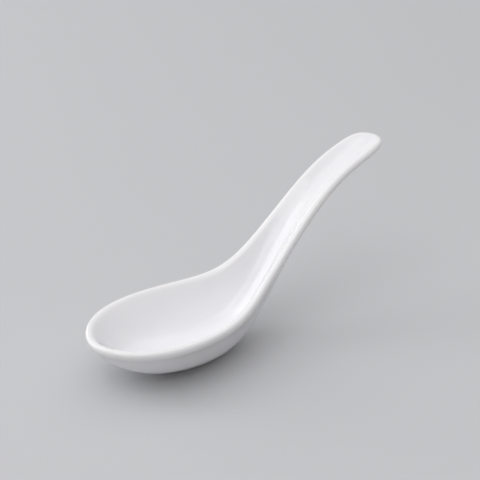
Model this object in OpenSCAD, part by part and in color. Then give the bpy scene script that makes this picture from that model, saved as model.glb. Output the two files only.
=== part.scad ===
// Chinese soup spoon of white glazed porcelain.
// A deep pointed-oval bowl runs through a neck into a guttered handle, which rises in an S to a round end.
// The clay body is one curved sheet with a full-round rim. It stands on a low oval foot ring of bare clay,
// and a clear glaze covers everything but that ring.
// Lengths are in millimetres. The bowl's tip points to -X, the handle rises to +X, and the table is z = 0.

/* [Rim] */
// Length of the rim's centre line, from the bowl's tip to the handle's end
rim_length = 125.8; // [112:0.2:145]
// Width of the bowl, between the centre lines of its rim
bowl_width = 40; // [34:0.5:46]
// Width of the neck, between the centre lines of its rim
neck_width = 15.8; // [13:0.2:20]
// Width of the handle at its grip, between the centre lines of its rim
grip_width = 13.2; // [11:0.2:16]
// Height of the bowl's rim above the table
bowl_height = 18.1; // [16:0.5:22]
// Height of the handle's end above the table
handle_height = 58.9; // [48:0.1:70]

/* [Floor] */
// Height of the bowl's floor above the table, in the middle of the clay
floor_height = 2.7; // [2.5:0.1:3.5]
// Depth of the gutter at the handle's end, between the middles of the clay
end_depth = 2.1; // [1.6:0.1:3]
// Distance from the bowl's tip back to the start of the floor line
tip_reach = 15; // [12:0.5:17]
// Distance from the handle's end back to the end of the floor line
end_reach = 7; // [5:0.5:8]

/* [Clay] */
// Thickness of the clay at the rim
rim_thickness = 2.7; // [2.2:0.1:3.2]
// Thickness of the clay along the floor of the bowl
floor_thickness = 3; // [2.4:0.1:3.6]
// Thickness of the clay along the floor of the handle's gutter
handle_thickness = 4.1; // [3:0.1:4.6]

/* [Glaze] */
// Thickness of the fired glaze coat
glaze_thickness = 0.25; // [0.2:0.01:0.4]

/* [Foot ring] */
// Distance from the bowl's tip to the front of the foot ring
foot_start = 24; // [20:0.5:26]
// Length of the foot ring over its outside
foot_length = 31; // [28:0.5:34]
// Width of the foot ring over its outside
foot_width = 15; // [12:0.5:17]
// Width of the bare clay that the spoon stands on
foot_land = 2.2; // [1.6:0.1:3]

/* [Hidden] */

// Overrun that carries a cut clear of the face it starts from
overrun = 0.2;

// Stations along the spoon: tip, front, belly, back and heel of the bowl, then neck, waist, grip,
// shoulder and end.
// Place of each station along the rim's length
along_shares = [0, 0.065, 0.23, 0.38, 0.483, 0.606, 0.842, 0.912, 0.986, 1];
// Half widths of the rim, as shares of the bowl's and of the grip's
bowl_half_shares = [0, 0.7, 1, 0.83, 0.57];
grip_half_shares = [1, 0.99, 0.56, 0];
// Climb of the rim from the bowl to the handle's end, and climb of the floor line below it
rim_climb_shares = [0, 0, 0, 0.012, 0.081, 0.34, 0.87, 0.949, 1.003, 1];
floor_climb_shares = [0.081, 0.047, 0, 0.008, 0.107, 0.388, 0.848, 0.923, 0.986, 1];
// Cross section: how far the floor spreads, how long it stays low, and how far the wall leans out
spread_shares = [0.75, 0.75, 0.75, 0.75, 0.75, 0.6, 0.5, 0.5, 0.5, 0.5];
low_shares = [0.58, 0.58, 0.58, 0.58, 0.58, 0.5, 0.45, 0.45, 0.45, 0.45];
lean_shares = [0.4, 0.4, 0.4, 0.4, 0.4, 0.3, 0.4, 0.4, 0.4, 0.4];
// How far the floor has thickened from the bowl to the handle
thickening_shares = [0, 0, 0, 0, 0, 0.3, 1, 1, 1, 0.7];

// Counts of the mesh: sections along the spoon, steps from floor to rim, and steps round the rim
sections = 60;
wall_steps = 9;
rim_steps = 6;
// How much closer the sections lie at the two round ends
end_crowding_share = 0.5;
// Sides of the foot ring's oval
foot_sides = 72;

bowl_half = bowl_width/2;
grip_half = grip_width/2;
gutter_height = handle_height - end_depth;
stations = len(along_shares) - 1;
neck_station = 5;
rim_x = [for (s = along_shares) s*rim_length];
handle_half = concat([neck_width/2], [for (s = grip_half_shares) s*grip_half]);
rim_half = concat([for (s = bowl_half_shares) s*bowl_half], handle_half);
rim_z = [for (s = rim_climb_shares) bowl_height + s*(handle_height - bowl_height)];
floor_z = [for (s = floor_climb_shares) floor_height + s*(gutter_height - floor_height)];
floor_x = [for (s = along_shares) s*rim_length + tip_reach*pow(1 - s, 3) - end_reach*pow(s, 3)];

// Share of the rim's chords that is behind each station
function total(list, last) = last < 0 ? 0 : list[last] + total(list, last - 1);
rim_points = [for (i = [0:stations]) [rim_x[i], rim_half[i], rim_z[i]]];
chords = [for (i = [0:stations - 1]) norm(rim_points[i + 1] - rim_points[i])];
knots = [for (i = [0:stations]) total(chords, i - 1)/total(chords, stations - 1)];
gaps = [for (i = [0:stations - 1]) knots[i + 1] - knots[i]];

// Second derivatives of the smooth curve through the values at the stations.
// A level curve starts and ends flat, and any other starts and ends straight.
function slope(values, i) = (values[i + 1] - values[i])/gaps[i];
function pivot(i, level) = i == 0 ? (level ? 2*gaps[0] : 1)
    : i == stations ? (level ? 2*gaps[stations - 1] : 1)
    : 2*(gaps[i - 1] + gaps[i]);
function before(i, level) = i == 0 || (i == stations && !level) ? 0 : gaps[i - 1];
function after(i, level) = i == stations || (i == 0 && !level) ? 0 : gaps[i];
function turn(values, i, level) = i == 0 ? (level ? 6*slope(values, 0) : 0)
    : i == stations ? (level ? -6*slope(values, stations - 1) : 0)
    : 6*(slope(values, i) - slope(values, i - 1));
function eliminate(values, level, rows = []) = len(rows) > stations ? rows
    : let (
        i = len(rows),
        above = i == 0 ? [0, 0] : rows[i - 1],
        left = pivot(i, level) - before(i, level)*above[0],
        row = [after(i, level)/left, (turn(values, i, level) - before(i, level)*above[1])/left])
    eliminate(values, level, concat(rows, [row]));
function substitute(rows, i, found = []) = i < 0 ? found
    : substitute(rows, i - 1, concat([rows[i][1] - rows[i][0]*(len(found) == 0 ? 0 : found[0])], found));
function bends(values, level) = substitute(eliminate(values, level), stations);

// Value of that curve at share u of the rim
function segment(u) = min(stations - 1, len([for (k = knots) if (k <= u) k]) - 1);
function curve(values, bend, u) = let (
        i = segment(u),
        h = gaps[i],
        p = (knots[i + 1] - u)/h,
        q = (u - knots[i])/h)
    p*values[i] + q*values[i + 1] + ((pow(p, 3) - p)*bend[i] + (pow(q, 3) - q)*bend[i + 1])*h*h/6;
function smooth(values, level = true) = let (bend = bends(values, level))
    [for (u = places) curve(values, bend, u)];

// Sections crowd towards the two round ends
places = [for (i = [0:sections]) i/sections - end_crowding_share*sin(360*i/sections)/(2*PI)];
// The bowl ends and the handle starts at the first section past the neck
neck_section = len([for (u = places) if (u < knots[neck_station]) u]);
rim_xs = smooth(rim_x);
rim_halves = smooth(rim_half, false);
rim_zs = smooth(rim_z);
floor_xs = smooth(floor_x);
floor_zs = smooth(floor_z);
spreads = smooth(spread_shares);
lows = smooth(low_shares);
leans = smooth(lean_shares);
floor_thicknesses = smooth([for (s = thickening_shares) floor_thickness + s*(handle_thickness - floor_thickness)]);

// Slope of the floor line, from the sections on either side
function floor_slope(i) = let (a = max(i - 1, 0), b = min(i + 1, sections))
    (floor_zs[b] - floor_zs[a])/(floor_xs[b] - floor_xs[a]);

// Middle of the clay at section i and share v of the way from the floor line to the rim.
// The cross section is a cubic whose first control point lies level beside the floor line.
function middle(i, v) = let (
        first = 3*v*pow(1 - v, 2),
        second = 3*v*v*(1 - v),
        third = pow(v, 3),
        across = spreads[i]*first + (1 - leans[i])*second + third,
        up = (1 - lows[i])*second + third,
        out = rim_xs[i] - floor_xs[i])
    [floor_xs[i] + out*across, rim_halves[i]*across,
     floor_zs[i] + (rim_zs[i] - floor_zs[i])*up + floor_slope(i)*out*spreads[i]*first];
middles = [for (i = [0:sections]) [for (j = [0:wall_steps]) middle(i, j/wall_steps)]];

function unit(v) = v/norm(v);
function mirrored(p) = [p.x, -p.y, p.z];

// Direction from floor to rim, and the upward normal, of the middle sheet
function rise(i, j) = middles[i][min(j + 1, wall_steps)] - middles[i][max(j - 1, 0)];
function run(i, j) = i == 0 ? middles[1][j] - mirrored(middles[1][j])
    : i == sections ? mirrored(middles[sections - 1][j]) - middles[sections - 1][j]
    : middles[i + 1][j] - middles[i - 1][j];
function floor_run(i) = middles[min(i + 1, sections)][0] - middles[max(i - 1, 0)][0];
function normal(i, j) = let (
        n = j == 0 ? cross(floor_run(i), [0, 1, 0]) : cross(run(i, j), rise(i, j)))
    unit(n.z < 0 ? -n : n);

// Half outline of section i, from the inside of the floor over the rim to the underside of the floor,
// with each face of the clay moved out by the coat
function half_outline(i, coat) = let (
        top = normal(i, wall_steps),
        outward = unit(rise(i, wall_steps) - top*(rise(i, wall_steps)*top)),
        round = rim_thickness/2 + coat,
        offsets = [for (j = [0:wall_steps])
            let (share = j/wall_steps)
            (share*rim_thickness + (1 - share)*floor_thicknesses[i])/2 + coat])
    concat(
        [for (j = [0:wall_steps]) middles[i][j] + offsets[j]*normal(i, j)],
        [for (k = [1:rim_steps - 1])
            let (angle = 180*k/rim_steps)
            middles[i][wall_steps] + round*(cos(angle)*top + sin(angle)*outward)],
        [for (j = [wall_steps:-1:0]) middles[i][j] - offsets[j]*normal(i, j)]);

// A whole outline runs along the near half and back along the far half.
// The two round ends lie in the plane of symmetry, where both halves share the near half's points.
last_point = 2*wall_steps + rim_steps;
rim_point = last_point/2;
near_count = last_point + 1;
loop_count = 2*last_point;
function round_end(i) = i == 0 || i == sections;
function outline(i, coat) = let (near = half_outline(i, coat))
    round_end(i) ? near : concat(near, [for (k = [last_point - 1:-1:1]) mirrored(near[k])]);

// Closed solid from one section to another
module sheet_solid(from, to, coat) {
    points = [for (i = [from:to]) each outline(i, coat)];
    function start(i) = i == from ? 0
        : (round_end(from) ? near_count : loop_count) + (i - from - 1)*loop_count;
    function near(c) = start(c[0]) + c[1];
    function far(c) = c[1] == 0 || c[1] == last_point || round_end(c[0]) ? near(c)
        : start(c[0]) + loop_count - c[1];
    // A diagonal never joins two points of the plane of symmetry at a round end
    sides = [for (i = [from:to - 1]) for (k = [0:last_point - 1])
        each (i < sections/2) == (k < rim_point)
            ? [[[i, k], [i + 1, k + 1], [i + 1, k]], [[i, k], [i, k + 1], [i + 1, k + 1]]]
            : [[[i, k], [i, k + 1], [i + 1, k]], [[i, k + 1], [i + 1, k + 1], [i + 1, k]]]];
    start_cap = [for (k = [0:rim_point - 1]) each [
        [[from, k], [from, last_point - k], [from, k + 1]],
        [[from, k + 1], [from, last_point - k], [from, last_point - k - 1]]]];
    end_cap = [for (k = [0:rim_point - 1]) each [
        [[to, k], [to, k + 1], [to, last_point - k]],
        [[to, k + 1], [to, last_point - k - 1], [to, last_point - k]]]];
    faces = [for (f = concat(sides, round_end(from) ? [] : start_cap, round_end(to) ? [] : end_cap))
        if (f[0] != f[1] && f[1] != f[2] && f[2] != f[0]) f];
    translate([-origin_x, 0, 0])
        polyhedron(points, concat(
            [for (f = faces) [near(f[0]), near(f[1]), near(f[2])]],
            [for (f = faces) [far(f[2]), far(f[1]), far(f[0])]]));
}

// The origin lies under the middle of the glazed spoon's length
tip_xs = [for (p = half_outline(0, glaze_thickness)) p.x];
end_xs = [for (p = half_outline(sections, glaze_thickness)) p.x];
origin_x = (min(tip_xs) + max(end_xs))/2;

// Column under the bowl over the foot ring's outline, from the table up into the thickness of the floor,
// with its top just below the inside of the bowl where that lies lowest
foot_top = min(floor_zs) + floor_thickness/2 - overrun;
module foot_outline(inset) {
    half_length = foot_length/2 - inset;
    half_width = foot_width/2 - inset;
    translate([foot_start + foot_length/2 - origin_x, 0])
        polygon([for (k = [0:foot_sides - 1])
            [half_length*cos(360*k/foot_sides), half_width*sin(360*k/foot_sides)]]);
}
module foot_column() {
    linear_extrude(foot_top) difference() {
        foot_outline(0);
        foot_outline(foot_land);
    }
}

module bowl() {
    color("white") sheet_solid(0, neck_section, 0);
}

module handle() {
    color("white") sheet_solid(neck_section, sections, 0);
}

// Bare ring that the spoon stands on, fitted to the underside of the bowl
module foot_ring() {
    color("antiquewhite") difference() {
        foot_column();
        sheet_solid(0, sections, 0);
    }
}

// Thin coat all round the clay, wiped off the foot ring
module glaze() {
    color("ghostwhite") difference() {
        sheet_solid(0, sections, glaze_thickness);
        sheet_solid(0, sections, 0);
        foot_column();
    }
}

bowl();
handle();
foot_ring();
glaze();
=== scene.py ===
"""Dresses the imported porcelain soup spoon: the glazed body, the bare foot ring, the stage and the camera.

Everything is in metres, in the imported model's frame. The bowl's tip points to -X, the handle rises to +X, and the
spoon stands on z = 0.
"""

import math

import bpy
import numpy as np
from bpy.props import FloatProperty, FloatVectorProperty, IntProperty, PointerProperty
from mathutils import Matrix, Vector
from mathutils.bvhtree import BVHTree


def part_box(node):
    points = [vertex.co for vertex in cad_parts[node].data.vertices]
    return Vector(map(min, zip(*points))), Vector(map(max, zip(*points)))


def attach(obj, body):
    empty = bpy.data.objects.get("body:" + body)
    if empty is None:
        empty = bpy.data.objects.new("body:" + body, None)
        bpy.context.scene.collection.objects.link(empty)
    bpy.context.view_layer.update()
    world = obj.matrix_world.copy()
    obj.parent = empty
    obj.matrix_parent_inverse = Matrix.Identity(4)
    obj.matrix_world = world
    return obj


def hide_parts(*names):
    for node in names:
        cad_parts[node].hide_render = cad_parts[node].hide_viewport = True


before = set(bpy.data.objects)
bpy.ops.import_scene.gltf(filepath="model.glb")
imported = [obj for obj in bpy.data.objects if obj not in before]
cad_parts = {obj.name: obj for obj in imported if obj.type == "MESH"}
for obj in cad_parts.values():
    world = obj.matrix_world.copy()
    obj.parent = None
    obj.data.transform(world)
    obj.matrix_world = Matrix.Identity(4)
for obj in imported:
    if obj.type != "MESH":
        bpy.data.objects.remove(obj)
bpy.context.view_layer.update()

bl_info = {
    "name": "Porcelain Soup Spoon",
    "version": (1, 0, 0),
    "blender": (4, 5, 0),
    "location": "View3D > Sidebar > Spoon",
    "description": "Builds a glazed porcelain soup spoon with its bare foot ring",
    "category": "Add Mesh",
}

MM = 0.001
FOOT_LOW, FOOT_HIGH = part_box("foot_ring")

# Stations along the spoon: tip, front, belly, back and heel of the bowl, then neck, waist, grip, shoulder and end
ALONG_SHARES = (0, 0.065, 0.23, 0.38, 0.483, 0.606, 0.842, 0.912, 0.986, 1)
# Half widths of the rim before and after the neck, in shares of the bowl's and of the grip's half width
BOWL_HALF_SHARES = (0, 0.7, 1, 0.83, 0.57)
GRIP_HALF_SHARES = (1, 0.99, 0.56, 0)
# How far the rim and the floor line have climbed from the bowl to the handle's end
RIM_CLIMB_SHARES = (0, 0, 0, 0.012, 0.081, 0.34, 0.87, 0.949, 1.003, 1)
FLOOR_CLIMB_SHARES = (0.081, 0.047, 0, 0.008, 0.107, 0.388, 0.848, 0.923, 0.986, 1)
# How the wall bends: how far it spreads level from the floor line, and how far below the rim and inside it the
# upper bend lies, in shares of the wall's width and height
SPREAD_SHARES = (0.75, 0.75, 0.75, 0.75, 0.75, 0.6, 0.5, 0.5, 0.5, 0.5)
LOW_SHARES = (0.58, 0.58, 0.58, 0.58, 0.58, 0.5, 0.45, 0.45, 0.45, 0.45)
LEAN_SHARES = (0.4, 0.4, 0.4, 0.4, 0.4, 0.3, 0.4, 0.4, 0.4, 0.4)
# How far the floor has thickened from the bowl to the handle
THICKENING_SHARES = (0, 0, 0, 0, 0, 0.3, 1, 1, 1, 0.7)
# How far the sections crowd towards both ends
END_CROWDING_SHARE = 0.5

# The pool of glaze: where along the spoon it ends, how softly, how far up the wall it reaches, and how much of it
# there is on the underside. The glaze runs thin over the last share of the wall.
POOL_END_SHARE, POOL_FADE_SHARE, POOL_WALL_SHARE, POOL_BELOW_SHARE = 0.62, 0.12, 0.45, 0.4
THIN_WALL_SHARE = 0.1

# Noise and cells in the finishes, in repeats per metre
CLOUD_SCALE, SHADE_SCALE, FLECK_SCALE = 55, 17, 210
WAVE_SCALE, RIPPLE_SCALE, SMEAR_SCALE = 42, 620, 130
GRAIN_SCALE, WEAR_SCALE, FLOOR_SCALE = 2600, 140, 3
# How far the shade swings from dark to light in the porcelain and in the floor
SHADE_SWING, FLOOR_SWING = 0.03, 0.02

# Steps over each rounded edge of the foot ring and over each bead
EDGE_STEPS, BEAD_STEPS = 6, 5

# Softboxes, which all face the spoon: place, width and height in metres
SOFTBOXES = {
    "key": ((-0.9, 0.75, 1.25), 1.6, 2),
    "strip": ((-0.77, 0.98, 0.82), 0.5, 1),
    "front": ((-0.9, -0.5, 1.3), 1.2, 1.2),
    "rear": ((-0.25, 1.4, 0.4), 1.2, 0.5),
    "side": ((1, 0.36, 1.06), 0.8, 0.6),
}


def length(name, about, default, **more):
    return FloatProperty(name=name, description=about, default=default, unit="LENGTH", **more)


def colour(name, about, default):
    return FloatVectorProperty(name=name, description=about, default=default, subtype="COLOR", size=3, min=0, max=1)


def amount(name, about, default, **more):
    return FloatProperty(name=name, description=about, default=default, **more)


def fraction(name, about, default):
    return amount(name, about, default, subtype="FACTOR", min=0, max=1)


class SpoonSizes(bpy.types.PropertyGroup):
    lip: length("Lip", "Thickness of the glazed wall at the lip", 3.2 * MM)
    crown: length("Crown", "Distance over which the wall rounds off up to the lip's crest", 2.3 * MM)
    floor: length("Floor", "Thickness of the glazed floor", 3.5 * MM)
    handle_floor: length("Handle floor", "Thickness of the glazed floor of the handle's gutter", 4.6 * MM)
    rim_length: length("Rim length", "Length of the rim's centre line", 125.8 * MM)
    bowl_width: length("Bowl width", "Width between the centre lines of the bowl's rim", 40 * MM)
    neck_width: length("Neck width", "Width between the centre lines of the neck's rim", 15.8 * MM)
    grip_width: length("Grip width", "Width between the centre lines of the grip's rim", 13.2 * MM)
    bowl_height: length("Bowl height", "Height of the bowl's rim above the table", 18.1 * MM)
    handle_height: length("Handle height", "Height of the handle's end above the table", 58.9 * MM)
    floor_height: length("Floor height", "Height of the bowl's floor above the table", 2.7 * MM)
    end_depth: length("End depth", "Depth of the gutter at the handle's end", 2.1 * MM)
    tip_reach: length("Tip reach", "Distance from the tip back to the floor line", 15 * MM)
    end_reach: length("End reach", "Distance from the handle's end back to the floor line", 7 * MM)
    sections: IntProperty(name="Sections", description="Sections along the spoon", default=300, min=40)
    wall_steps: IntProperty(name="Wall steps", description="Steps from the floor to the rim", default=40, min=8)
    rim_steps: IntProperty(name="Rim steps", description="Steps over the lip", default=16, min=4)


class FootSizes(bpy.types.PropertyGroup):
    start: length("Start", "Front of the ring", FOOT_LOW[0])
    length: length("Length", "Length of the ring over its outside", FOOT_HIGH[0] - FOOT_LOW[0])
    width: length("Width", "Width of the ring over its outside", FOOT_HIGH[1] - FOOT_LOW[1])
    land: length("Land", "Width of the bare clay that the spoon stands on", 2.2 * MM)
    edge: length("Edge", "Rounding of the ring's two lower edges", 0.45 * MM)
    bead: length("Bead", "Size of the bead at which the glaze ends against the ring", 0.45 * MM)
    overlap: length("Overlap", "Distance that the ring and the beads reach into the body", 0.3 * MM)
    sides: IntProperty(name="Sides", description="Steps around the ring", default=180, min=24)


class Finish(bpy.types.PropertyGroup):
    glaze: colour("Glaze", "White of the glazed porcelain", (0.868, 0.864, 0.878))
    pool: colour("Pool", "Tint where the glaze lies thick", (0.872, 0.873, 0.889))
    lip: colour("Lip", "Tint where the glaze runs thin on the lip", (0.88, 0.872, 0.872))
    fleck: colour("Fleck", "Rare iron flecks under the glaze", (0.5, 0.43, 0.36))
    fleck_strength: fraction("Fleck strength", "How strongly a fleck shows", 0.35)
    gloss: fraction("Gloss", "Roughness of the glaze where it is smoothest", 0.045)
    smear: fraction("Smear", "Roughness added where handling has dulled the glaze", 0.04)
    wave: length("Wave", "Height of the slow waves in the glaze", 0.05 * MM)
    ripple: length("Ripple", "Height of the fine ripple in the glaze", 0.0016 * MM)
    depth: length("Depth", "Depth to which light enters the porcelain", 1.6 * MM)
    bisque: colour("Bisque", "Bare fired clay of the foot", (0.735, 0.7, 0.65))
    bisque_dark: colour("Worn bisque", "Bare clay where handling has greyed it", (0.56, 0.53, 0.49))
    grain: length("Grain", "Height of the grain of the bare clay", 0.03 * MM)


class StageSizes(bpy.types.PropertyGroup):
    floor: colour("Floor", "Pale floor", (0.56, 0.565, 0.575))
    floor_side: length("Floor side", "Side of the floor", 6)
    clearance: length("Clearance", "Gap below the foot, so that no two faces share one plane", 0.02 * MM)
    key: amount("Key", "Power of the broad light on the left", 4.6, unit="POWER")
    strip: amount("Strip", "Power of the light that the gutter mirrors", 2.8, unit="POWER")
    front: amount("Front", "Power of the light on the camera's side", 6.3, unit="POWER")
    rear: amount("Rear", "Power of the low light behind the spoon", 3.2, unit="POWER")
    side: amount("Side", "Power of the small light on the right", 0.6, unit="POWER")
    sky_tint: colour("Sky tint", "Tint of the surroundings", (0.985, 0.98, 1))
    sky: amount("Sky", "Strength of the plain studio surroundings", 0.12)
    overhead: amount("Overhead", "Strength added straight overhead", 1.05)
    backdrop: amount("Backdrop", "Strength of the pale backdrop", 0.6)
    azimuth: amount("Azimuth", "Camera's turn round the spoon", math.radians(-40.5), subtype="ANGLE")
    elevation: amount("Elevation", "Camera's height above the table", math.radians(26), subtype="ANGLE")
    distance: length("Distance", "From the camera to the point that it looks at", 0.606)
    aim: FloatVectorProperty(name="Aim", description="Point of the table that the camera looks at",
                             default=(49.1 * MM, 59.25 * MM, 0), subtype="XYZ", unit="LENGTH", size=3)
    lens: amount("Lens", "Focal length of the camera", 112.6, unit="CAMERA")


class Socket:
    """A shader socket whose arithmetic adds Math nodes."""

    def __init__(self, shader, socket):
        self.shader, self.socket = shader, socket

    def math(self, operation, *values, clamp=False):
        settings = {"operation": operation, "use_clamp": clamp}
        return self.shader.node("ShaderNodeMath", settings, dict(enumerate(values)))

    def __add__(self, other):
        return self.math("ADD", self, other)

    def __sub__(self, other):
        return self.math("SUBTRACT", self, other)

    def __rsub__(self, other):
        return self.math("SUBTRACT", other, self)

    def __mul__(self, other):
        return self.math("MULTIPLY", self, other)

    __radd__ = __add__
    __rmul__ = __mul__

    def clamped(self):
        return self.math("ADD", self, 0, clamp=True)

    def between(self, low, high):
        """0 at low, 1 at high, smooth between, and level beyond."""
        return self.shader.node("ShaderNodeMapRange", {"interpolation_type": "SMOOTHSTEP"},
                                {"Value": self, "From Min": low, "From Max": high})


class Shader:
    """The node tree of a new material, or of the world."""

    def __init__(self, owner):
        self.owner = owner
        owner.use_nodes = True
        self.tree = owner.node_tree
        self.tree.nodes.clear()

    def node(self, kind, settings=None, inputs=None, output=0):
        made = self.tree.nodes.new(kind)
        for key, value in (settings or {}).items():
            setattr(made, key, value)
        for key, value in (inputs or {}).items():
            if isinstance(value, Socket):
                self.tree.links.new(value.socket, made.inputs[key])
            else:
                made.inputs[key].default_value = value
        return Socket(self, made.outputs[output]) if made.outputs else None

    def place(self):
        return self.node("ShaderNodeTexCoord", output="Object")

    def attribute(self, name):
        return self.node("ShaderNodeAttribute", {"attribute_name": name}, output="Fac")

    def noise(self, scale, detail=2, roughness=0.5):
        return self.node("ShaderNodeTexNoise", {}, {
            "Vector": self.place(), "Scale": scale, "Detail": detail, "Roughness": roughness})

    def blend(self, share, first, second, kind="MIX"):
        inputs = {0: share, 6: rgba(first), 7: rgba(second)}
        return self.node("ShaderNodeMix", {"data_type": "RGBA", "blend_type": kind}, inputs, output=2)

    def mottled(self, tint, scale, low, high, swing):
        """The tint, a little darker and lighter in soft clouds. The swing is from the darkest to the lightest."""
        level = self.noise(scale, 2).between(low, high) * swing + (1 - swing / 2)
        grey = self.node("ShaderNodeCombineColor", {}, {0: level, 1: level, 2: level})
        return self.blend(1.0, tint, grey, "MULTIPLY")

    def bump(self, height):
        """Turns a height in metres into a normal."""
        return self.node("ShaderNodeBump", {}, {"Height": height, "Distance": 1.0, "Strength": 1.0})

    def surface(self, **inputs):
        names = {key.replace("_", " "): value for key, value in inputs.items()}
        self.node("ShaderNodeOutputMaterial", {}, {"Surface": self.node("ShaderNodeBsdfPrincipled", {}, names)})
        return self.owner


def rgba(value):
    return value if isinstance(value, Socket) else (*value, 1.0)


def glazed_porcelain(finish):
    """White glaze over a white body: thick and cool where it pools, thin and warmer on the lip."""
    s = Shader(bpy.data.materials.new("glazed_porcelain"))
    pool = s.attribute("pool")
    lip = s.attribute("lip")
    cloud = s.noise(CLOUD_SCALE, 3)
    tint = s.blend((pool * (cloud * 0.5 + 0.75)).clamped(), finish.glaze, finish.pool)
    tint = s.blend((lip * (cloud * 0.6 + 0.55)).clamped(), tint, finish.lip)
    tint = s.mottled(tint, SHADE_SCALE, 0.3, 0.7, SHADE_SWING)
    # Any cell could hold a fleck in its middle, and about one in fifty does
    cells = {"Vector": s.place(), "Scale": FLECK_SCALE}
    spot = 1 - s.node("ShaderNodeTexVoronoi", {}, cells).between(0.03, 0.09)
    pick = s.node("ShaderNodeTexVoronoi", {}, cells, output="Color")
    rare = s.node("ShaderNodeSeparateColor", {}, {0: pick}).between(0.975, 0.985)
    tint = s.blend(spot * rare * finish.fleck_strength, tint, finish.fleck)
    waves = s.noise(WAVE_SCALE, 1) * finish.wave + s.noise(RIPPLE_SCALE, 1) * finish.ripple
    return s.surface(
        Base_Color=tint, Roughness=s.noise(SMEAR_SCALE, 2) * finish.smear + finish.gloss, IOR=1.5,
        Normal=s.bump(waves), Subsurface_Weight=0.12, Subsurface_Radius=(1.0, 0.85, 0.7),
        Subsurface_Scale=finish.depth)


def bare_bisque(finish):
    """Unglazed foot: a dry, fine-grained, slightly warm clay, greyed on the land by the tables it has stood on."""
    s = Shader(bpy.data.materials.new("bare_bisque"))
    grain = s.noise(GRAIN_SCALE, 3, 0.6)
    cloud = s.noise(WEAR_SCALE, 3)
    land = s.attribute("land")
    worn = (land * cloud.between(0.35, 0.7) * 0.7).clamped()
    tint = s.blend(worn, finish.bisque, finish.bisque_dark)
    tint = s.blend(grain.between(0.62, 0.75) * 0.35, tint, finish.bisque_dark)
    return s.surface(
        Base_Color=tint, Roughness=cloud * 0.12 + 0.72, Normal=s.bump(grain * finish.grain), IOR=1.45)


def pale_floor(tint):
    s = Shader(bpy.data.materials.new("pale_floor"))
    return s.surface(Base_Color=s.mottled(tint, FLOOR_SCALE, 0.2, 0.8, FLOOR_SWING), Roughness=0.65, IOR=1.3)


def studio_sky(stage):
    """Plain surroundings, brighter overhead as under a big diffuser. The camera and the glaze see a pale backdrop."""
    s = Shader(bpy.data.worlds.new("studio"))
    view = s.node("ShaderNodeTexCoord", output="Generated")
    height = s.node("ShaderNodeSeparateXYZ", {}, {0: view}, output="Z").clamped()
    kinds = ("Is Camera Ray", "Is Glossy Ray", "Is Transmission Ray")
    camera, glossy, through = [s.node("ShaderNodeLightPath", output=kind) for kind in kinds]
    seen = (camera + glossy + through).clamped()
    strength = (height * height * stage.overhead + stage.sky) * (1 - seen) + seen * stage.backdrop
    glow = s.node("ShaderNodeBackground", {}, {"Color": rgba(stage.sky_tint), "Strength": strength})
    s.node("ShaderNodeOutputWorld", {}, {"Surface": glow})
    return s.owner


def smooth(knots, values, places, level=True):
    """Cubic through the values at the knots.

    A level curve starts and ends flat, and any other starts and ends straight.
    """
    knots, values = np.asarray(knots, float), np.asarray(values, float)
    gaps = np.diff(knots)
    slopes = np.diff(values) / gaps
    count = len(knots)
    rows, turns = np.eye(count), np.zeros(count)
    for i in range(1, count - 1):
        rows[i, i - 1:i + 2] = gaps[i - 1], 2 * (gaps[i - 1] + gaps[i]), gaps[i]
        turns[i] = 6 * (slopes[i] - slopes[i - 1])
    if level:
        rows[0, :2] = 2 * gaps[0], gaps[0]
        rows[-1, -2:] = gaps[-1], 2 * gaps[-1]
        turns[0], turns[-1] = 6 * slopes[0], -6 * slopes[-1]
    bends = np.linalg.solve(rows, turns)
    i = np.clip(np.searchsorted(knots, places, side="right") - 1, 0, count - 2)
    h = gaps[i]
    p, q = (knots[i + 1] - places) / h, (places - knots[i]) / h
    curve = p * values[i] + q * values[i + 1]
    return curve + ((p**3 - p) * bends[i] + (q**3 - q) * bends[i + 1]) * h * h / 6


def unit(vectors):
    return vectors / np.linalg.norm(vectors, axis=-1, keepdims=True)


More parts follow.
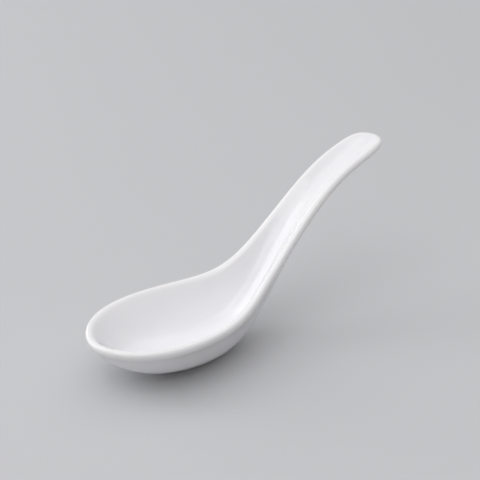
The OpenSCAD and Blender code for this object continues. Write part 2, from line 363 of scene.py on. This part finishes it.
def middle_sheet(size):
    """Middle of the wall as a grid: sections along the spoon by steps from the floor line to the rim, near half.

    Each section's place along the spoon, the slope of its floor line and the thickness of its floor come with it.
    """
    along = np.array(ALONG_SHARES)
    rim_x = along * size.rim_length
    rim_half = np.array([share * size.bowl_width / 2 for share in BOWL_HALF_SHARES] + [size.neck_width / 2]
                        + [share * size.grip_width / 2 for share in GRIP_HALF_SHARES])
    rim_z = size.bowl_height + np.array(RIM_CLIMB_SHARES) * (size.handle_height - size.bowl_height)
    gutter = size.handle_height - size.end_depth
    floor_z = size.floor_height + np.array(FLOOR_CLIMB_SHARES) * (gutter - size.floor_height)
    floor_x = rim_x + size.tip_reach * (1 - along)**3 - size.end_reach * along**3
    chords = np.linalg.norm(np.diff(np.stack([rim_x, rim_half, rim_z], 1), axis=0), axis=1)
    knots = np.concatenate([[0], np.cumsum(chords)]) / chords.sum()
    even = np.linspace(0, 1, size.sections + 1)
    places = even - END_CROWDING_SHARE * np.sin(2 * np.pi * even) / (2 * np.pi)

    def line(values, level=True):
        return smooth(knots, values, places, level)[:, None]

    rx, rz, fx, fz = line(rim_x), line(rim_z), line(floor_x), line(floor_z)
    half = line(rim_half, False)
    half[0] = half[-1] = 0
    spread, low, lean = line(SPREAD_SHARES), line(LOW_SHARES), line(LEAN_SHARES)
    thickness = size.floor + line(THICKENING_SHARES) * (size.handle_floor - size.floor)
    rise = np.empty_like(fz)
    rise[1:-1] = (fz[2:] - fz[:-2]) / (fx[2:] - fx[:-2])
    rise[0], rise[-1] = rise[1], rise[-2]
    v = np.linspace(0, 1, size.wall_steps + 1)[None, :]
    first, second, third = 3 * v * (1 - v)**2, 3 * v * v * (1 - v), v**3
    across = spread * first + (1 - lean) * second + third
    up = (1 - low) * second + third
    out = rx - fx
    sheet = np.stack([fx + out * across, half * across, fz + (rz - fz) * up + rise * out * spread * first], -1)
    return sheet, places, rise[:, 0], thickness[..., None]


def wall_normals(sheet, rise):
    """Upward normals of the middle sheet, and the outward direction at its rim."""
    flip = np.array([1, -1, 1])
    run = np.empty_like(sheet)
    run[1:-1] = sheet[2:] - sheet[:-2]
    run[0], run[-1] = sheet[1] - sheet[1] * flip, sheet[-2] * flip - sheet[-2]
    climb = np.empty_like(sheet)
    climb[:, 1:-1] = sheet[:, 2:] - sheet[:, :-2]
    climb[:, 0] = sheet[:, 1] - sheet[:, 0]
    climb[:, -1] = 1.5 * sheet[:, -1] - 2 * sheet[:, -2] + 0.5 * sheet[:, -3]
    normal = np.cross(run, climb)
    normal[:, 0] = np.stack([-rise, 0 * rise, np.ones_like(rise)], -1)
    normal[normal[..., 2] < 0] *= -1
    normal = unit(normal)
    top = normal[:, -1]
    edge = climb[:, -1]
    outward = unit(edge - top * np.sum(edge * top, -1, keepdims=True))
    return normal, outward


def half_outlines(size):
    """Outline of each section on the near half, from the inside floor over the lip to the underside."""
    sheet, places, rise, floor = middle_sheet(size)
    normal, outward = wall_normals(sheet, rise)
    share = np.linspace(0, 1, size.wall_steps + 1)[None, :, None]
    offset = (share * size.lip + (1 - share) * floor) / 2
    half_lip = size.lip / 2
    # Both faces draw in towards the lip on a quarter ellipse that is as long as the crown, and the roll closes them
    steps = np.linalg.norm(np.diff(sheet[:, ::-1], axis=1), axis=-1)
    to_rim = np.concatenate([np.zeros((len(sheet), 1)), np.cumsum(steps, 1)], 1)[:, ::-1, None]
    offset = offset * np.sqrt(1 - np.clip(1 - (half_lip + to_rim) / size.crown, 0, 1)**2)
    start = math.asin(1 - half_lip / size.crown)
    angles = np.linspace(start, np.pi - start, size.rim_steps + 1)[1:-1, None]
    reach = half_lip - size.crown * (1 - np.sin(angles))
    roll = sheet[:, -1:] + half_lip * np.cos(angles) * normal[:, -1:] + reach * outward[:, None]
    inside = sheet + offset * normal
    underside = (sheet - offset * normal)[:, ::-1]
    return np.concatenate([inside, roll, underside], 1), places


def closed_shell(near):
    """Vertices and quads of the whole shell. The round ends' points lie in the plane of symmetry and are shared."""
    rows, columns = near.shape[:2]
    points = near.reshape(-1, 3).tolist()
    index = np.arange(rows * columns).reshape(rows, columns)
    mirror = index.copy()
    for i in range(1, rows - 1):
        for k in range(1, columns - 1):
            x, y, z = near[i, k]
            mirror[i, k] = len(points)
            points.append((x, -y, z))
    quads = []
    for grid, turn in ((index, 1), (mirror, -1)):
        a, b, c, d = grid[:-1, :-1], grid[1:, :-1], grid[1:, 1:], grid[:-1, 1:]
        quads.extend(np.stack([a, b, c, d][::turn], -1).reshape(-1, 4).tolist())
    return points, quads, index, mirror


def add_object(name, points, faces, material, slot):
    mesh = bpy.data.meshes.new(name)
    mesh.from_pydata(points, [], faces)
    mesh.validate()
    mesh.shade_smooth()
    mesh.materials.append(material)
    made = bpy.data.objects.new(name, mesh)
    bpy.context.scene.collection.objects.link(made)
    if slot:
        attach(made, "root")
    return made


def set_attribute(made, name, values):
    made.data.attributes.new(name, "FLOAT", "POINT").data.foreach_set("value", np.asarray(values, np.float32))


def glazed_shell(size):
    """The outlines, shifted so that the origin lies under the middle of the spoon's length."""
    near, places = half_outlines(size)
    near[..., 0] -= (near[..., 0].min() + near[..., 0].max()) / 2
    return near, places


def glaze_masks(size, near, places):
    """Where the glaze pools, in the level floor inside the bowl, and where it runs thin, over the lip."""
    columns = near.shape[1]
    k = np.arange(columns)
    v = np.where(k <= size.wall_steps, k, columns - 1 - k) / size.wall_steps
    inside = k <= size.wall_steps
    bowl = np.clip((POOL_END_SHARE - places) / POOL_FADE_SHARE, 0, 1)[:, None]
    pool = np.exp(-(v / POOL_WALL_SHARE)**2)[None, :] * np.where(inside, 1.0, POOL_BELOW_SHARE)[None, :] * bowl
    roll = np.clip((v - 1 + THIN_WALL_SHARE) / THIN_WALL_SHARE, 0, 1)[None, :]
    return pool, np.repeat(roll, near.shape[0], 0)


def underside_finder():
    """Function that gives the height of the glazed body's underside over a place on the table."""
    graph = bpy.context.evaluated_depsgraph_get()
    tree = BVHTree.FromObject(bpy.data.objects["glazed_body"], graph)
    return lambda x, y: tree.ray_cast(Vector((x, y, -1)), Vector((0, 0, 1)))[0].z


def quarter_turn(steps):
    """Sines and cosines of a quarter turn."""
    return [(math.sin(a), math.cos(a)) for a in np.linspace(0, math.pi / 2, steps + 1)]


def oval_band(foot, section):
    """Closed band round the foot's oval. The section lists (inset, height) pairs at a place on the oval."""
    middle = foot.start + foot.length / 2
    points = []
    for k in range(foot.sides):
        angle = 2 * math.pi * k / foot.sides

        def spot(inset):
            return (middle + (foot.length / 2 - inset) * math.cos(angle), (foot.width / 2 - inset) * math.sin(angle))

        points.extend((*spot(inset), height) for inset, height in section(spot))
    grid = np.arange(len(points)).reshape(foot.sides, -1)
    after = np.roll(grid, -1, 0)
    faces = np.stack([grid, np.roll(grid, -1, 1), np.roll(after, -1, 1), after], -1)
    return points, faces.reshape(-1, 4).tolist()


class SpoonGlazedBody(bpy.types.Operator):
    """Makes the glazed porcelain: bowl, neck and handle in one shell with a rounded lip"""

    bl_idname = "spoon.glazed_body"
    bl_label = "Glazed Body"

    def execute(self, context):
        size = context.scene.spoon_sizes
        near, places = glazed_shell(size)
        points, quads, index, mirror = closed_shell(near)
        body = add_object("glazed_body", points, quads, glazed_porcelain(context.scene.spoon_finish), "clear_glaze")
        for name, mask in zip(("pool", "lip"), glaze_masks(size, near, places)):
            values = np.zeros(len(points))
            values[index] = mask
            values[mirror] = mask
            set_attribute(body, name, values)
        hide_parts("bowl", "handle", "glaze")
        return {"FINISHED"}


class SpoonFootRing(bpy.types.Operator):
    """Makes the bare foot ring, fitted to the underside of the bowl"""

    bl_idname = "spoon.foot_ring"
    bl_label = "Foot Ring"

    def execute(self, context):
        foot = context.scene.spoon_foot
        land, edge = foot.land, foot.edge
        underside = underside_finder()
        turn = quarter_turn(EDGE_STEPS)

        def section(spot):
            outer = [(edge - edge * c, edge - edge * s) for s, c in turn]
            inner = [(land - edge + edge * s, edge - edge * c) for s, c in turn]
            tops = [(inset, underside(*spot(inset)) + foot.overlap) for inset in (0, land)]
            return [tops[0]] + outer + inner + [tops[1]]

        points, faces = oval_band(foot, section)
        ring = add_object("bare_foot_ring", points, faces, bare_bisque(context.scene.spoon_finish), "bare_foot")
        set_attribute(ring, "land", [1 if height < edge / 2 else 0 for x, y, height in points])
        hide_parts("foot_ring")
        return {"FINISHED"}


class SpoonGlazeBeads(bpy.types.Operator):
    """Makes the beads at which the glaze ends against the foot ring, outside and inside it"""

    bl_idname = "spoon.glaze_beads"
    bl_label = "Glaze Beads"

    def execute(self, context):
        foot = context.scene.spoon_foot
        bead, overlap = foot.bead, foot.overlap
        underside = underside_finder()
        turn = quarter_turn(BEAD_STEPS)

        def outside(spot):
            arc = [(bead * s - bead, bead * c - bead) for s, c in turn]
            hidden = [(overlap, -bead), (overlap, overlap), (-bead, overlap)]
            return [(inset, underside(*spot(inset)) + rise) for inset, rise in arc + hidden]

        def inside(spot):
            arc = [(foot.land + bead - bead * c, bead * s - bead) for s, c in turn]
            hidden = [(foot.land + bead, overlap), (foot.land - overlap, overlap), (foot.land - overlap, -bead)]
            return [(inset, underside(*spot(inset)) + rise) for inset, rise in arc + hidden]

        porcelain = bpy.data.objects["glazed_body"].data.materials[0]
        for name, section in (("outer_glaze_bead", outside), ("inner_glaze_bead", inside)):
            add_object(name, *oval_band(foot, section), porcelain, "clear_glaze")
        return {"FINISHED"}


def add_softbox(name, place, width, height, power):
    """Rectangular area light that faces the spoon."""
    data = bpy.data.lights.new(name, "AREA")
    data.shape = "RECTANGLE"
    data.size, data.size_y = width, height
    data.energy = power
    lamp = bpy.data.objects.new(name, data)
    lamp.location = place
    lamp.rotation_euler = (-Vector(place)).to_track_quat("-Z", "Y").to_euler()
    bpy.context.scene.collection.objects.link(lamp)


class SpoonStage(bpy.types.Operator):
    """Makes the pale floor, the soft lights, the surroundings and the camera"""

    bl_idname = "spoon.stage"
    bl_label = "Stage"

    def execute(self, context):
        scene, stage = context.scene, context.scene.spoon_stage
        half = stage.floor_side / 2
        corners = [(x * half, y * half, -stage.clearance) for x, y in ((-1, -1), (1, -1), (1, 1), (-1, 1))]
        floor = add_object("floor", corners, [(0, 1, 2, 3)], pale_floor(stage.floor), None)
        for name, (place, width, height) in SOFTBOXES.items():
            add_softbox(name, place, width, height, getattr(stage, name))
        scene.world = studio_sky(stage)
        data = bpy.data.cameras.new("camera")
        data.lens = stage.lens
        camera = bpy.data.objects.new("camera", data)
        a, e = stage.azimuth, stage.elevation
        back = Vector((math.sin(a) * math.cos(e), -math.cos(a) * math.cos(e), math.sin(e)))
        camera.location = Vector(stage.aim) + back * stage.distance
        camera.rotation_euler = (math.pi / 2 - e, 0, a)
        scene.collection.objects.link(camera)
        scene.camera = camera
        scene.view_settings.view_transform = "Standard"
        return {"FINISHED"}


class SpoonPanel(bpy.types.Panel):
    bl_idname = "VIEW3D_PT_soup_spoon"
    bl_label = "Porcelain Soup Spoon"
    bl_space_type = "VIEW_3D"
    bl_region_type = "UI"
    bl_category = "Spoon"

    def draw(self, context):
        for group in ("spoon_sizes", "spoon_foot", "spoon_finish", "spoon_stage"):
            box = self.layout.box()
            settings = getattr(context.scene, group)
            for name in settings.__annotations__:
                box.prop(settings, name)
        for step in (SpoonGlazedBody, SpoonFootRing, SpoonGlazeBeads, SpoonStage):
            self.layout.operator(step.bl_idname)


GROUPS = {"spoon_sizes": SpoonSizes, "spoon_foot": FootSizes, "spoon_finish": Finish, "spoon_stage": StageSizes}
CLASSES = (*GROUPS.values(), SpoonGlazedBody, SpoonFootRing, SpoonGlazeBeads, SpoonStage, SpoonPanel)


def register():
    for kind in CLASSES:
        bpy.utils.register_class(kind)
    for name, kind in GROUPS.items():
        setattr(bpy.types.Scene, name, PointerProperty(type=kind))


def unregister():
    for name in GROUPS:
        delattr(bpy.types.Scene, name)
    for kind in reversed(CLASSES):
        bpy.utils.unregister_class(kind)


def main():
    register()
    bpy.ops.spoon.glazed_body()
    bpy.ops.spoon.foot_ring()
    bpy.ops.spoon.glaze_beads()
    bpy.ops.spoon.stage()


if __name__ == "__main__":
    main()
